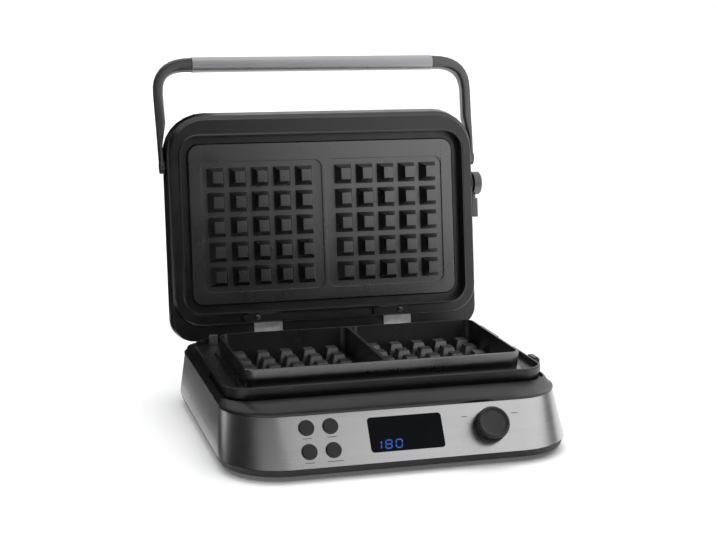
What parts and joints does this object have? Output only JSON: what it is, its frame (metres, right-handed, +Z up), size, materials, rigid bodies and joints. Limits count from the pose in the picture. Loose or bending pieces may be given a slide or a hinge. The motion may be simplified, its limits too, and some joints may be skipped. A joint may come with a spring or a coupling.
{
  "type": "belgian waffle maker",
  "caption": "Deep two-slice waffle maker with hinged pegged plates, a bail handle, a side lock lever and a sloping steel front with display, buttons and a turn knob.",
  "frame": {"origin": "bottom centre of the bounding box, on the surface that the feet stand on, lid open", "axes": "+Z up, -Y towards the front with the controls, +X to the right seen from the front"},
  "size_m": [0.3296, 0.3494, 0.3241],
  "materials": {
    "black_plastic": "satin moulded",
    "soft_black": "matt moulded",
    "steel": "brushed along its length",
    "plate_coating": "non-stick coating",
    "dark_sheet": "plain sheet",
    "light_sheet": "plain sheet",
    "grip_metal": "satin metallic",
    "board_green": "coated board",
    "element_metal": "dull",
    "glass_black": "polished",
    "rubber_black": "matt",
    "knob_grey": "satin",
    "zinc": "zinc plated"
  },
  "bodies": {
    "base": {"base_tray": "soft_black", "foot_1": "rubber_black", "foot_2": "rubber_black", "foot_3": "rubber_black", "foot_4": "rubber_black", "tray_screw_1": "zinc", "tray_screw_2": "zinc", "tray_screw_3": "zinc", "tray_screw_4": "zinc", "steel_band": "steel", "rear_panel": "black_plastic", "cord_gland": "rubber_black", "top_frame": "black_plastic", "lock_catch": "black_plastic", "lower_plate": "plate_coating", "lower_element": "element_metal", "lower_pan": "dark_sheet", "lower_sensor": "zinc", "plate_tab_left": "light_sheet", "plate_tab_right": "light_sheet", "hinge_bracket_left": "light_sheet", "hinge_bracket_right": "light_sheet", "hinge_pin_left": "zinc", "hinge_pin_right": "zinc", "display_window": "glass_black", "display_module": "soft_black", "control_board": "board_green", "board_carrier": "soft_black", "key_switch_1": "soft_black", "key_switch_2": "soft_black", "key_switch_3": "soft_black", "key_switch_4": "soft_black", "encoder": "zinc", "power_board": "board_green", "relay": "soft_black"},
    "lid": {"lid_frame": "black_plastic", "lid_shell": "black_plastic", "upper_plate": "plate_coating", "upper_element": "element_metal", "upper_pan": "dark_sheet", "upper_sensor": "zinc", "hinge_leaf_left": "light_sheet", "hinge_leaf_right": "light_sheet", "frame_screw_left": "zinc", "frame_screw_right": "zinc", "rim_stop_left": "soft_black", "rim_stop_right": "soft_black", "lock_boss": "black_plastic"},
    "bail": {"grip_tube": "grip_metal", "bail_arm_left": "black_plastic", "bail_arm_right": "black_plastic", "pivot_pin_left": "zinc", "pivot_pin_right": "zinc"},
    "lock": {"lock_lever": "black_plastic"},
    "knob": {"selector_knob": "knob_grey", "knob_shaft": "zinc"},
    "button_1": {"button_1": "knob_grey"},
    "button_2": {"button_2": "knob_grey"},
    "button_3": {"button_3": "knob_grey"},
    "button_4": {"button_4": "knob_grey"}
  },
  "joints": [
    {"name": "lid_hinge", "type": "hinge", "parent": "base", "child": "lid", "pos_m": [0, 0.08112, 0.0553], "axis": [-1, 0, 0], "range_deg": [-98.5, 0]},
    {"name": "bail_pivot", "type": "hinge", "parent": "lid", "child": "bail", "pos_m": [0, 0.13995, 0.22092], "axis": [1, 0, 0], "range_deg": [-82.6, 32.4]},
    {"name": "lock_turn", "type": "hinge", "parent": "lid", "child": "lock", "pos_m": [0.15368, 0.13606, 0.19491], "axis": [-1, 0, 0], "range_deg": [0, 90]},
    {"name": "knob_turn", "type": "hinge", "parent": "base", "child": "knob", "pos_m": [0.07048, -0.15624, 0.03067], "axis": [0, -0.8334, 0.5527], "continuous": true},
    {"name": "button_1_press", "type": "slide", "parent": "base", "child": "button_1", "axis": [0, 0.8334, -0.5527], "range_m": [0, 0.001], "stiffness_N_per_m": 300},
    {"name": "button_2_press", "type": "slide", "parent": "base", "child": "button_2", "axis": [0, 0.8334, -0.5527], "range_m": [0, 0.001], "stiffness_N_per_m": 300},
    {"name": "button_3_press", "type": "slide", "parent": "base", "child": "button_3", "axis": [0, 0.8334, -0.5527], "range_m": [0, 0.001], "stiffness_N_per_m": 300},
    {"name": "button_4_press", "type": "slide", "parent": "base", "child": "button_4", "axis": [0, 0.8334, -0.5527], "range_m": [0, 0.001], "stiffness_N_per_m": 300}
  ]
}
